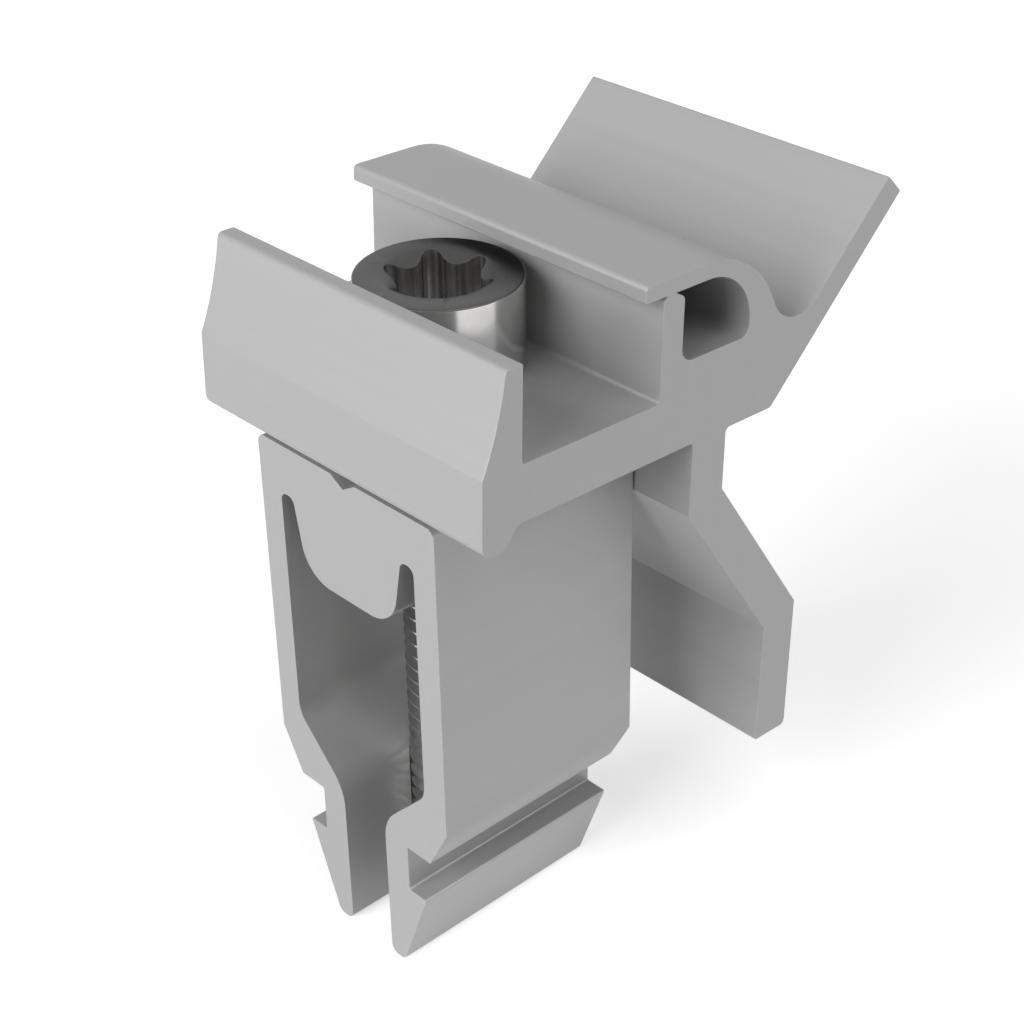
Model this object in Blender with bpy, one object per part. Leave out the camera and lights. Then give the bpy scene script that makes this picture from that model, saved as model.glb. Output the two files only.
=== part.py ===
"""A clamp that holds the frame of a solar panel on a mounting rail.

Three pieces make it up. The rail foot is an aluminium extrusion whose two barbed legs snap into the
rail's slot. The clamp cap is a second aluminium extrusion, turned a quarter turn to the foot, with a
channel for the screw's head, a wing, and a leg that stands on the rail. The clamp screw passes through
the cap into the foot's boss and draws the two together.

The origin is on the screw's axis at the level of the rail's top, under the foot's shoulders. +Z points
up out of the rail, X runs along the rail and the foot's extrusion, and Y runs across the rail, along
the cap's extrusion. All sizes are in metres.
"""

import math
from typing import NamedTuple

import bmesh
import bpy
from mathutils import Vector

# The screw, an M8 x 45 with a cylinder head and a six-lobe socket
SCREW_DIAMETER = 0.008
SCREW_LENGTH = 0.045
SCREW_TIP_CHAMFER = 0.0008
HEAD_DIAMETER = 0.013
HEAD_HEIGHT = 0.0068
HEAD_CHAMFER = 0.0003
HEAD_FILLET = 0.0003
SOCKET_LOBE_DIAMETER = 0.0087
SOCKET_WAIST_DIAMETER = 0.0064
SOCKET_LOBE_RADIUS = 0.0008
SOCKET_DEPTH = 0.0043
COUNTERSINK_DIAMETER = 0.0089
COUNTERSINK_ANGLE = math.radians(120)
SOCKET_TURN = math.radians(-3)

# The rail foot, across and along its extrusion
FOOT_LENGTH = 0.0206
FOOT_WIDTH = 0.0208
FOOT_HEIGHT = 0.0323
FOOT_EDGE_RADIUS = 0.0008
FOOT_WALL = 0.0025
SHOULDER_RISE = 0.00405
SHOULDER_INSET = 0.0022
NOTCH_WIDTH = 0.0029
NOTCH_DEPTH = 0.00085

# The foot's boss, which carries the thread, and the slots beside it
BOSS_HEIGHT = 0.011
BOSS_TOP_WIDTH = 0.0129
BOSS_BOTTOM_WIDTH = 0.01034
BOSS_RADIUS = 0.0033
SLOT_DEPTH = 0.00435
SLOT_RADIUS = 0.0007

# The foot's snap legs
NECK_WIDTH = 0.0108
NECK_HEIGHT = 0.0044
NECK_RADIUS = 0.0002
BARB_WIDTH = 0.015
BARB_HEIGHT = 0.0085
BARB_TIP_THICKNESS = 0.0017
BARB_TIP_RADIUS = 0.0008
LEG_GAP = 0.0052
THROAT_HEIGHT = 0.0066
THROAT_ANGLE = math.radians(45)
THROAT_UPPER_RADIUS = 0.0025
THROAT_LOWER_RADIUS = 0.0045

# The clamp cap's plate, channel and front jaw
CAP_LENGTH = 0.0325
CAP_TILT = math.radians(2)
PLATE_THICKNESS = 0.00465
CHANNEL_RADIUS = 0.00035
JAW_HEIGHT = 0.0078
JAW_TOP_WIDTH = 0.0016
JAW_BASE_WIDTH = 0.00375
JAW_HOLLOW_RADIUS = 0.028
JAW_EDGE_RADIUS = 0.0005
LIP_DEPTH = 0.00175
LIP_WIDTH = 0.0022
LIP_ANGLE = math.radians(56)
LIP_OUTER_RADIUS = 0.0011
LIP_INNER_RADIUS = 0.0015
LIP_ROOT_RADIUS = 0.0005

# The cap's rear wall, the arm that it carries over the channel, and the hollow behind it
WALL_THICKNESS = 0.0022
ARM_LEVEL = 0.0085
ARM_THICKNESS = 0.00135
ARM_OVERHANG = 0.0019
ARM_EDGE_RADIUS = 0.0004
HINGE_INSET = 0.00035
HINGE_WIDTH = 0.00085
HINGE_DROP = 0.00055
WALL_EDGE_RADIUS = 0.0003
HOLLOW_FLOOR = 0.00255
HOLLOW_WIDTH = 0.00735
HOLLOW_CROWN_RADIUS = 0.0048
HOLLOW_WALL_RADIUS = 0.0012
HOLLOW_END_RADIUS = 0.0009
HOLLOW_EDGE_RADIUS = 0.0005

# The cap's crown and wing
CROWN_WIDTH = 0.00946
CROWN_RADIUS = 0.0086
CROWN_ANGLE = math.radians(62)
VALLEY_RADIUS = 0.00305
WING_ANGLE = math.radians(45.5)
WING_LENGTH = 0.020
WING_THICKNESS = 0.0023
HEEL_WIDTH = 0.0051
HEEL_RADIUS = 0.0005

# The cap's leg, which stands on the rail
LEG_THICKNESS = 0.0037
LEG_STRAIGHT = 0.00645
LEG_OFFSET = 0.0102
LEG_ANGLE = math.radians(35)
LEG_DEPTH = 0.03247
LEG_ROOT_RADIUS = 0.0004
LEG_FOOT_RADIUS = 0.0005

# Clearances between the pieces
SEAT_GAP = 0.00025
GUIDE_GAP = 0.00015
CHANNEL_GAP = 0.0004
HOLE_GAP = 0.0005
THREAD_GAP = 0.0003
RELIEF_DEPTH = 0.001

# Small edges, cuts and facets
EDGE_RADIUS = 0.00015
OVERRUN = 0.002
WELD_DISTANCE = 0.00001
ARC_STEP = math.radians(5)
SHALLOW_ARC_STEP = math.radians(2)
ROUND_SIDES = 96
SMOOTH_ANGLE = math.radians(30)

# Sizes that follow from those above
SCREW_RADIUS = SCREW_DIAMETER / 2
HEAD_RADIUS = HEAD_DIAMETER / 2
CHANNEL_HALF = HEAD_RADIUS + CHANNEL_GAP
JAW_FACE = CHANNEL_HALF + JAW_BASE_WIDTH
LIP_LEVEL = PLATE_THICKNESS + LIP_DEPTH
LIP_CORNER = JAW_FACE - LIP_WIDTH


class Corner(NamedTuple):
    """A corner of an outline, with the radius that rounds it."""

    across: float
    up: float
    radius: float = 0


class Metal(NamedTuple):
    """The finish of a piece of bare metal."""

    name: str
    colour: tuple
    roughness: float


FOOT_ALUMINIUM = Metal("foot_aluminium", (0.64, 0.64, 0.65), 0.36)
CAP_ALUMINIUM = Metal("cap_aluminium", (0.62, 0.62, 0.63), 0.38)
SCREW_STEEL = Metal("screw_steel", (0.42, 0.41, 0.40), 0.24)


def clear_scene():
    """Removes every object of the open scene."""
    for obj in list(bpy.data.objects):
        bpy.data.objects.remove(obj, do_unlink=True)


def material_of(metal):
    """The Principled material of a metal, made once."""
    found = bpy.data.materials.get(metal.name)
    if found:
        return found
    material = bpy.data.materials.new(metal.name)
    material.use_nodes = True
    shader = material.node_tree.nodes["Principled BSDF"]
    shader.inputs["Base Color"].default_value = (*metal.colour, 1)
    shader.inputs["Roughness"].default_value = metal.roughness
    shader.inputs["Metallic"].default_value = 1
    return material


def rounding_arc(before, corner, after):
    """Points of the arc that rounds a corner and touches both of its sides."""
    here = Vector((corner.across, corner.up))
    back = (Vector((before.across, before.up)) - here).normalized()
    ahead = (Vector((after.across, after.up)) - here).normalized()
    turn = math.pi - back.angle(ahead)
    reach = corner.radius * math.tan(turn / 2)
    centre = here + (back + ahead).normalized() * corner.radius / math.cos(turn / 2)
    start = here + back * reach - centre
    sign = math.copysign(1, start.y * back.x - start.x * back.y)
    steps = max(1, math.ceil(turn / ARC_STEP))
    points = []
    for step in range(steps + 1):
        angle = sign * turn * step / steps
        cosine, sine = math.cos(angle), math.sin(angle)
        spoke = Vector((start.x * cosine - start.y * sine, start.x * sine + start.y * cosine))
        points.append(centre + spoke)
    return points


def rounded_outline(corners):
    """The closed outline through the corners, each rounded by its own radius."""
    points = []
    for index, corner in enumerate(corners):
        if corner.radius > 0:
            before = corners[index - 1]
            after = corners[(index + 1) % len(corners)]
            points += rounding_arc(before, corner, after)
        else:
            points.append(Vector((corner.across, corner.up)))
    return points


def hollow_arc(start, end, radius):
    """Corners along a shallow arc between two corners, bowed to the left of the way from start to end."""
    first, last = Vector((start.across, start.up)), Vector((end.across, end.up))
    chord = last - first
    half = math.asin(chord.length / 2 / radius)
    left = Vector((-chord.y, chord.x)).normalized()
    centre = (first + last) / 2 - left * radius * math.cos(half)
    along = chord.normalized()
    steps = math.ceil(2 * half / SHALLOW_ARC_STEP)
    corners = []
    for step in range(1, steps):
        angle = half * (2 * step / steps - 1)
        point = centre + left * radius * math.cos(angle) + along * radius * math.sin(angle)
        corners.append(Corner(point.x, point.y))
    return corners


def meeting(point, angle, other, other_angle):
    """Where the line through a point at an angle meets the line through another point."""
    way = Vector((math.cos(angle), math.sin(angle)))
    other_way = Vector((math.cos(other_angle), math.sin(other_angle)))
    between = Vector(other) - Vector(point)
    share = between.cross(other_way) / way.cross(other_way)
    return Vector(point) + way * share


def object_of(name, bm, metal=None):
    """A scene object from a finished bmesh, shaded smooth between its sharp edges."""
    bmesh.ops.recalc_face_normals(bm, faces=bm.faces)
    mesh = bpy.data.meshes.new(name)
    bm.to_mesh(mesh)
    bm.free()
    mesh.shade_smooth()
    mesh.set_sharp_from_angle(angle=SMOOTH_ANGLE)
    if metal:
        mesh.materials.append(material_of(metal))
    obj = bpy.data.objects.new(name, mesh)
    bpy.context.collection.objects.link(obj)
    return obj


def prism(name, outline, across, along, length, metal=None):
    """An outline drawn across one axis and Z, pushed out evenly to both sides along another."""
    bm = bmesh.new()
    up = Vector((0, 0, 1))
    start = along * (-length / 2)
    vertices = [bm.verts.new(start + across * point.x + up * point.y) for point in outline]
    face = bm.faces.new(vertices)
    pushed = bmesh.ops.extrude_face_region(bm, geom=[face])
    moved = [item for item in pushed["geom"] if isinstance(item, bmesh.types.BMVert)]
    bmesh.ops.translate(bm, verts=moved, vec=along * length)
    return object_of(name, bm, metal)


def turned(name, profile, metal=None):
    """A solid turned round Z from a profile of (radius, height) points, which starts and ends on the axis."""
    bm = bmesh.new()
    vertices = [bm.verts.new((radius, 0, height)) for radius, height in profile]
    edges = [bm.edges.new(pair) for pair in zip(vertices, vertices[1:])]
    bmesh.ops.spin(
        bm,
        geom=vertices + edges,
        cent=(0, 0, 0),
        axis=(0, 0, 1),
        angle=math.tau,
        steps=ROUND_SIDES,
        use_merge=True,
    )
    bmesh.ops.remove_doubles(bm, verts=bm.verts, dist=WELD_DISTANCE)
    return object_of(name, bm, metal)


def cut(target, cutter):
    """Cuts one object out of another and keeps the cutter as a hidden guide."""
    cutter.parent = target
    cutter.hide_render = True
    cutter.display_type = "WIRE"
    boolean = target.modifiers.new(cutter.name, "BOOLEAN")
    boolean.operation = "DIFFERENCE"
    boolean.solver = "EXACT"
    boolean.object = cutter


def lip_arc_centre():
    """The centre of the arc on the cap's lip that stands on the foot, in the cap's own frame."""
    reach = LIP_INNER_RADIUS * math.tan(LIP_ANGLE / 2)
    return -LIP_CORNER - reach, LIP_INNER_RADIUS - LIP_LEVEL


def cap_seat_height():
    """The height of the channel's floor on the screw's axis, with the tilted lip resting on the foot."""
    across, up = lip_arc_centre()
    drop = up * math.cos(CAP_TILT) - across * math.sin(CAP_TILT) - LIP_INNER_RADIUS
    return FOOT_HEIGHT + SEAT_GAP - drop


def screw_seat_height():
    """The height of the head's underside, which rests on the high side of the tilted channel floor."""
    return cap_seat_height() + HEAD_RADIUS * math.tan(CAP_TILT) + SEAT_GAP


def foot_outline():
    """The foot's section across Y and Z, from the notch round one leg and back, then mirrored."""
    half = FOOT_WIDTH / 2
    neck, barb, gap = NECK_WIDTH / 2, BARB_WIDTH / 2, LEG_GAP / 2
    tip_level = -NECK_HEIGHT - BARB_HEIGHT
    cavity = half - FOOT_WALL
    throat_drop = (cavity - gap) * math.tan(THROAT_ANGLE)
    slot_level = FOOT_HEIGHT - SLOT_DEPTH
    side = [
        Corner(NOTCH_WIDTH / 2, FOOT_HEIGHT),
        Corner(half, FOOT_HEIGHT, FOOT_EDGE_RADIUS),
        Corner(half, SHOULDER_RISE),
        Corner(half - SHOULDER_INSET, 0, EDGE_RADIUS),
        Corner(neck, 0, NECK_RADIUS),
        Corner(neck, -NECK_HEIGHT, NECK_RADIUS),
        Corner(barb, -NECK_HEIGHT, EDGE_RADIUS),
        Corner(gap + BARB_TIP_THICKNESS, tip_level, BARB_TIP_RADIUS),
        Corner(gap, tip_level, BARB_TIP_RADIUS),
        Corner(gap, THROAT_HEIGHT - throat_drop, THROAT_LOWER_RADIUS),
        Corner(cavity, THROAT_HEIGHT, THROAT_UPPER_RADIUS),
        Corner(cavity, slot_level, SLOT_RADIUS),
        Corner(BOSS_TOP_WIDTH / 2, slot_level, SLOT_RADIUS),
        Corner(BOSS_BOTTOM_WIDTH / 2, FOOT_HEIGHT - BOSS_HEIGHT, BOSS_RADIUS),
    ]
    mirrored = [Corner(-corner.across, corner.up, corner.radius) for corner in reversed(side)]
    notch = Corner(0, FOOT_HEIGHT - NOTCH_DEPTH)
    return rounded_outline([notch] + side + mirrored)


def build_rail_foot():
    """The foot, with the screw's bore drilled through the boss and on between the legs."""
    foot = prism(
        "rail_foot",
        foot_outline(),
        across=Vector((0, 1, 0)),
        along=Vector((1, 0, 0)),
        length=FOOT_LENGTH,
        metal=FOOT_ALUMINIUM,
    )
    radius = SCREW_RADIUS + THREAD_GAP
    bottom = screw_seat_height() - SCREW_LENGTH - RELIEF_DEPTH
    top = FOOT_HEIGHT + OVERRUN
    cut(foot, turned("screw_bore", [(0, top), (radius, top), (radius, bottom), (0, bottom)]))
    return foot


def leg_corners():
    """The leg's corners, down its inner side and up its outer side."""
    crease = -PLATE_THICKNESS - LEG_STRAIGHT
    lean = -crease * math.sin(CAP_TILT)
    inner = (FOOT_LENGTH / 2 + GUIDE_GAP + lean) / math.cos(CAP_TILT)
    outer = inner + LEG_THICKNESS
    fall = LEG_OFFSET / math.tan(LEG_ANGLE)
    mitre = LEG_THICKNESS * math.tan(LEG_ANGLE / 2)
    bottom = -PLATE_THICKNESS - LEG_DEPTH
    return [
        Corner(inner, -PLATE_THICKNESS, LEG_ROOT_RADIUS),
        Corner(inner, crease),
        Corner(inner + LEG_OFFSET, crease - fall),
        Corner(inner + LEG_OFFSET, bottom, EDGE_RADIUS),
        Corner(outer + LEG_OFFSET, bottom, LEG_FOOT_RADIUS),
        Corner(outer + LEG_OFFSET, crease - fall + mitre),
        Corner(outer, crease + mitre),
        Corner(outer, -PLATE_THICKNESS, LEG_ROOT_RADIUS),
    ]


def wing_corners(leg_outer):
    """The corners of the heel, the wing, the valley and the crown."""
    heel = Vector((leg_outer + HEEL_WIDTH, -PLATE_THICKNESS))
    way = Vector((math.cos(WING_ANGLE), math.sin(WING_ANGLE)))
    inward = Vector((-way.y, way.x))
    tip = heel + way * WING_LENGTH
    upper_tip = tip + inward * WING_THICKNESS
    crown = Vector((CHANNEL_HALF + CROWN_WIDTH, ARM_LEVEL + ARM_THICKNESS))
    valley = meeting(crown, -CROWN_ANGLE, upper_tip, WING_ANGLE)
    return [
        Corner(heel.x, heel.y, HEEL_RADIUS),
        Corner(tip.x, tip.y, EDGE_RADIUS),
        Corner(upper_tip.x, upper_tip.y, EDGE_RADIUS),
        Corner(valley.x, valley.y, VALLEY_RADIUS),
        Corner(crown.x, crown.y, CROWN_RADIUS),
    ]


def jaw_corners():
    """The corners of the front jaw, over its top and down to the lip under the plate."""
    top = Corner(-CHANNEL_HALF - JAW_TOP_WIDTH, JAW_HEIGHT, JAW_EDGE_RADIUS)
    crest = Corner(-JAW_FACE, 0, JAW_EDGE_RADIUS)
    lip_run = LIP_DEPTH / math.tan(LIP_ANGLE)
    return [
        Corner(-CHANNEL_HALF, 0, CHANNEL_RADIUS),
        Corner(-CHANNEL_HALF, JAW_HEIGHT, EDGE_RADIUS),
        top,
        *hollow_arc(top, crest, JAW_HOLLOW_RADIUS),
        crest,
        Corner(-JAW_FACE, -LIP_LEVEL, LIP_OUTER_RADIUS),
        Corner(-LIP_CORNER, -LIP_LEVEL, LIP_INNER_RADIUS),
        Corner(-LIP_CORNER + lip_run, -PLATE_THICKNESS, LIP_ROOT_RADIUS),
    ]


def arm_corners():
    """The corners of the arm's free end and of the notch between the arm and the rear wall."""
    end = CHANNEL_HALF - ARM_OVERHANG
    return [
        Corner(end, ARM_LEVEL + ARM_THICKNESS, ARM_EDGE_RADIUS),
        Corner(end, ARM_LEVEL, EDGE_RADIUS),
        Corner(CHANNEL_HALF + HINGE_INSET, ARM_LEVEL),
        Corner(CHANNEL_HALF, ARM_LEVEL - HINGE_INSET, WALL_EDGE_RADIUS),
        Corner(CHANNEL_HALF, 0, CHANNEL_RADIUS),
    ]


def hollow_outline():
    """The closed chamber behind the rear wall, which comes to a point under the arm."""
    left = CHANNEL_HALF + WALL_THICKNESS
    right = left + HOLLOW_WIDTH
    point = CHANNEL_HALF + HINGE_INSET + HINGE_WIDTH
    return rounded_outline(
        [
            Corner(point, ARM_LEVEL),
            Corner(left, ARM_LEVEL - HINGE_DROP, HOLLOW_EDGE_RADIUS),
            Corner(left, HOLLOW_FLOOR, HOLLOW_WALL_RADIUS),
            Corner(right, HOLLOW_FLOOR, HOLLOW_END_RADIUS),
            Corner(right, ARM_LEVEL, HOLLOW_CROWN_RADIUS),
        ]
    )


def build_clamp_cap():
    """The cap, rocked back on its lip, with the hollow chamber and the hole for the screw."""
    leg = leg_corners()
    wing = wing_corners(leg[-1].across)
    outline = rounded_outline(jaw_corners() + leg + wing + arm_corners())
    across, along = Vector((1, 0, 0)), Vector((0, 1, 0))
    cap = prism("clamp_cap", outline, across, along, CAP_LENGTH, CAP_ALUMINIUM)
    cut(cap, prism("cap_hollow", hollow_outline(), across, along, CAP_LENGTH + OVERRUN))
    radius = SCREW_RADIUS + HOLE_GAP
    top, bottom = OVERRUN, -PLATE_THICKNESS - OVERRUN
    cut(cap, turned("screw_hole", [(0, top), (radius, top), (radius, bottom), (0, bottom)]))
    cap.location.z = cap_seat_height()
    cap.rotation_euler.y = CAP_TILT
    return cap


def screw_profile():
    """The screw's turned profile from the top of the head to the tip, with the head's underside at 0."""
    head, shank, tip = HEAD_RADIUS, SCREW_RADIUS, SCREW_RADIUS - SCREW_TIP_CHAMFER
    fillet = []
    steps = math.ceil(math.pi / 2 / ARC_STEP)
    for step in range(steps + 1):
        angle = math.pi / 2 * step / steps
        inward, down = math.sin(angle), math.cos(angle)
        fillet.append((shank + HEAD_FILLET * (1 - inward), HEAD_FILLET * (down - 1)))
    return [
        (0, HEAD_HEIGHT),
        (head - HEAD_CHAMFER, HEAD_HEIGHT),
        (head, HEAD_HEIGHT - HEAD_CHAMFER),
        (head, HEAD_CHAMFER),
        (head - HEAD_CHAMFER, 0),
        *fillet,
        (shank, SCREW_TIP_CHAMFER - SCREW_LENGTH),
        (tip, -SCREW_LENGTH),
        (0, -SCREW_LENGTH),
    ]


def socket_outline():
    """The six-lobe outline: small lobes on the outer circle, joined by wider arcs on the waist circle."""
    lobe_seat = SOCKET_LOBE_DIAMETER / 2 - SOCKET_LOBE_RADIUS
    waist = SOCKET_WAIST_DIAMETER / 2
    twelfth = math.pi / 6
    nearness = lobe_seat * math.cos(twelfth)
    waist_radius = (
        lobe_seat**2 + waist**2 - 2 * nearness * waist - SOCKET_LOBE_RADIUS**2
    ) / (2 * (SOCKET_LOBE_RADIUS + nearness - waist))
    waist_seat = waist + waist_radius
    lobe_centre = Vector((lobe_seat, 0))
    waist_centre = Vector((math.cos(twelfth), math.sin(twelfth))) * waist_seat
    toward = waist_centre - lobe_centre
    lobe_half = math.atan2(toward.y, toward.x)
    waist_half = math.pi - (math.atan2(-toward.y, -toward.x) % math.tau) + twelfth
    points = []
    for lobe in range(6):
        middle = SOCKET_TURN + 2 * twelfth * lobe
        points += arc_about(lobe_seat, middle, SOCKET_LOBE_RADIUS, middle, lobe_half)
        side = middle + twelfth
        points += arc_about(waist_seat, side, waist_radius, side + math.pi, waist_half)
    return points


def arc_about(seat, seat_angle, radius, facing, half):
    """Points of an arc whose centre lies at a distance and angle from the axis, spread about its facing."""
    centre = Vector((math.cos(seat_angle), math.sin(seat_angle))) * seat
    steps = math.ceil(2 * abs(half) / ARC_STEP)
    points = []
    for step in range(steps):
        angle = facing + half * (2 * step / steps - 1)
        points.append(centre + Vector((math.cos(angle), math.sin(angle))) * radius)
    return points


def build_socket_cutter():
    """The six-lobe prism that the socket is cut with."""
    bm = bmesh.new()
    bottom, top = HEAD_HEIGHT - SOCKET_DEPTH, HEAD_HEIGHT + OVERRUN
    face = bm.faces.new([bm.verts.new((point.x, point.y, bottom)) for point in socket_outline()])
    pushed = bmesh.ops.extrude_face_region(bm, geom=[face])
    moved = [item for item in pushed["geom"] if isinstance(item, bmesh.types.BMVert)]
    bmesh.ops.translate(bm, verts=moved, vec=(0, 0, top - bottom))
    return object_of("socket_cutter", bm)


def build_countersink_cutter():
    """The cone that breaks the socket's edge, carried on past the top of the head."""
    rise = math.tan(math.pi / 2 - COUNTERSINK_ANGLE / 2)
    radius = COUNTERSINK_DIAMETER / 2
    top = HEAD_HEIGHT + OVERRUN
    profile = [(0, top), (radius + OVERRUN / rise, top), (0, HEAD_HEIGHT - radius * rise)]
    return turned("countersink_cutter", profile)


def build_clamp_screw():
    """The screw, with its socket and countersink cut into the head."""
    screw = turned("clamp_screw", screw_profile(), SCREW_STEEL)
    cut(screw, build_socket_cutter())
    cut(screw, build_countersink_cutter())
    screw.location.z = screw_seat_height()
    return screw


def main():
    clear_scene()
    build_rail_foot()
    build_clamp_cap()
    build_clamp_screw()


if __name__ == "__main__":
    main()
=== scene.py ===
"""A clamp for solar panel frames, dressed: two aluminium extrusions and the screw that joins them.

The rail foot snaps into a rail's slot, the clamp cap lies across it, and the clamp screw draws the
two together. X runs along the rail, Y across it, and +Z points up out of it. All sizes are in
metres.
"""

import logging
import math
from dataclasses import dataclass
from enum import Enum

import bmesh
import bpy
from bpy.types import Material, Node, NodeSocket, NodeTree, Object
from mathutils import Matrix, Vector


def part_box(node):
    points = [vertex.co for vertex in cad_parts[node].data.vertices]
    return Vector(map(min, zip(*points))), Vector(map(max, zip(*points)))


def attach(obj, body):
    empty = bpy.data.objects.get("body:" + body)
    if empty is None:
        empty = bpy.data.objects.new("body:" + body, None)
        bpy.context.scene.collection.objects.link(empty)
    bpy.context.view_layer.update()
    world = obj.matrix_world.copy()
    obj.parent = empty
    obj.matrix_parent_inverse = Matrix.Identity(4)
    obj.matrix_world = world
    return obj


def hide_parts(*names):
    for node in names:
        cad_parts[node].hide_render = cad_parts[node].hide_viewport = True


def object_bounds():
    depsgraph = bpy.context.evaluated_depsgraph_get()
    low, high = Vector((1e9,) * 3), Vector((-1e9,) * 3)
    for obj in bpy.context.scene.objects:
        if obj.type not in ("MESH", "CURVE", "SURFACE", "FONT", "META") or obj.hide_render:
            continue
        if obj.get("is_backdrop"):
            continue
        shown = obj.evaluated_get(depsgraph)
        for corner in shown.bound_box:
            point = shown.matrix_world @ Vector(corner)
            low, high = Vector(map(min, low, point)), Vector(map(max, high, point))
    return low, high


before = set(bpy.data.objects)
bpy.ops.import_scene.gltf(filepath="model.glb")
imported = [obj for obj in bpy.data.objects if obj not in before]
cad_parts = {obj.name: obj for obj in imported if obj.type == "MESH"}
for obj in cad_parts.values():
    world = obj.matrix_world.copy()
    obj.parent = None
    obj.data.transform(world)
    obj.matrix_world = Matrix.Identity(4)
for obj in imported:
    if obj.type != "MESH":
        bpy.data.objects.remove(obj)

MM = 0.001  # a millimetre, in metres
ARC_STEP = math.radians(4.5)
HOLE_SIDES = 96
EDGE_STEPS = 2
SMOOTH_ANGLE = math.radians(32)
WELD_DISTANCE = 0.000001
PLANE_TOLERANCE = 0.000002
OVERRUN = 0.002
BUMP_DISTANCE = 0.00002
log = logging.getLogger("clamp")

Colour = tuple[float, float, float]
Value = NodeSocket | Vector | Colour | float
WHITE = (1.0, 1.0, 1.0, 1.0)
UP = Vector((0.0, 0.0, 1.0))


class Plane(Enum):
    """The plane of a section, named by the axis that the section is pushed out along."""

    ALONG_X = "x"
    ALONG_Y = "y"
    ALONG_Z = "z"

    def place(self, point: Vector, along: float = 0.0) -> Vector:
        """Gives the point in space of a section point.

        Args:
            point: The section point, across and up.
            along: Its place on the axis that the section is pushed out along.

        Returns:
            The point in space.
        """
        if self is Plane.ALONG_X:
            return Vector((along, point.x, point.y))
        if self is Plane.ALONG_Y:
            return Vector((point.x, along, point.y))
        return Vector((point.x, point.y, along))

    @property
    def push(self) -> Vector:
        """The unit vector that the section is pushed out along."""
        return self.place(Vector((0.0, 0.0)), 1.0)

    @property
    def pivot(self) -> Vector:
        """The unit vector about which a turn from across to up is positive."""
        return -self.push if self is Plane.ALONG_Y else self.push


class Finish(Enum):
    """The material slots of the record."""

    FOOT = "foot_aluminium"
    CAP = "cap_aluminium"
    SCREW = "screw_steel"


@dataclass(frozen=True)
class Corner:
    """A corner of a section, with the radius that rounds it."""

    across: float
    up: float
    radius: float = 0.0

    @property
    def point(self) -> Vector:
        """The corner as a vector."""
        return Vector((self.across, self.up))

    @property
    def mirrored(self) -> "Corner":
        """The same corner on the other side of the middle."""
        return Corner(-self.across, self.up, self.radius)


@dataclass(frozen=True)
class Round:
    """The arc that rounds a corner, from where it leaves one side to where it meets the next."""

    start: Vector
    centre: Vector
    turn: float

    @classmethod
    def of(cls, before: Corner, corner: Corner, after: Corner) -> "Round":
        """Works out the arc of one corner.

        Args:
            before: The corner before it.
            corner: The corner that is rounded.
            after: The corner after it.

        Returns:
            The arc, which touches both sides.
        """
        back = (before.point - corner.point).normalized()
        ahead = (after.point - corner.point).normalized()
        turn = math.pi - back.angle(ahead)
        start = corner.point + back * corner.radius * math.tan(turn / 2)
        centre = corner.point + (back + ahead).normalized() * corner.radius / math.cos(turn / 2)
        side = math.copysign(1.0, ahead.x * back.y - ahead.y * back.x)
        return cls(start, centre, turn * side)


class Pen:
    """Draws an outline in edit mode: runs by extruding a vertex, rounds by spinning it."""

    def __init__(self, name: str, plane: Plane, start: Vector, along: float = 0.0) -> None:
        """Starts an object with one vertex at the outline's first point.

        Args:
            name: The object's name.
            plane: The plane that the outline lies in.
            start: The first point of the outline.
            along: The plane's place on its axis.
        """
        self.plane = plane
        self.along = along
        self.here = start.copy()
        deselect_all()
        bpy.ops.mesh.primitive_plane_add(size=MM)
        self.piece = bpy.context.active_object
        self.piece.name = self.piece.data.name = name
        bpy.ops.object.mode_set(mode="EDIT")
        bpy.ops.mesh.merge(type="CENTER")
        bpy.ops.transform.translate(value=plane.place(start, along))

    def line_to(self, point: Vector) -> None:
        """Draws a straight run, or nothing where the pen is already there.

        Args:
            point: The section point that it ends at.
        """
        step = point - self.here
        if step.length < WELD_DISTANCE:
            return
        value = self.plane.place(step)
        bpy.ops.mesh.extrude_region_move(TRANSFORM_OT_translate={"value": value})
        self.here = point.copy()

    def turn_about(self, centre: Vector, angle: float) -> None:
        """Draws an arc. The spin operator counts its angle against the right-hand rule.

        Args:
            centre: The arc's centre in the section.
            angle: The angle that it turns through, positive from across to up.
        """
        bpy.ops.mesh.spin(
            steps=max(2, math.ceil(abs(angle) / ARC_STEP)),
            angle=-angle,
            center=self.plane.place(centre, self.along),
            axis=self.plane.pivot,
        )
        self.here = centre + turned_by(self.here - centre, angle)

    def round_off(self, arc: Round) -> None:
        """Draws a straight run up to an arc and then the arc."""
        self.line_to(arc.start)
        self.turn_about(arc.centre, arc.turn)

    def fill(self) -> None:
        """Joins the outline's ends and fills it with one face."""
        weld()
        bpy.ops.mesh.edge_face_add()

    def lay_down(self) -> Object:
        """Leaves edit mode and returns the object."""
        bpy.ops.object.mode_set(mode="OBJECT")
        return self.piece


def deselect_all() -> None:
    """Leaves edit mode and deselects every object."""
    if bpy.context.mode != "OBJECT":
        bpy.ops.object.mode_set(mode="OBJECT")
    bpy.ops.object.select_all(action="DESELECT")


def take_up(piece: Object) -> None:
    """Makes a piece the only selected one and the active one."""
    deselect_all()
    piece.select_set(True)
    bpy.context.view_layer.objects.active = piece


def weld() -> None:
    """Selects the whole of the mesh that is edited and merges its doubles."""
    bpy.ops.mesh.select_all(action="SELECT")
    bpy.ops.mesh.remove_doubles(threshold=WELD_DISTANCE)


def face_outwards() -> None:
    """Selects the whole of the mesh that is edited and turns its faces outwards."""
    bpy.ops.mesh.select_all(action="SELECT")
    bpy.ops.mesh.normals_make_consistent(inside=False)


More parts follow.
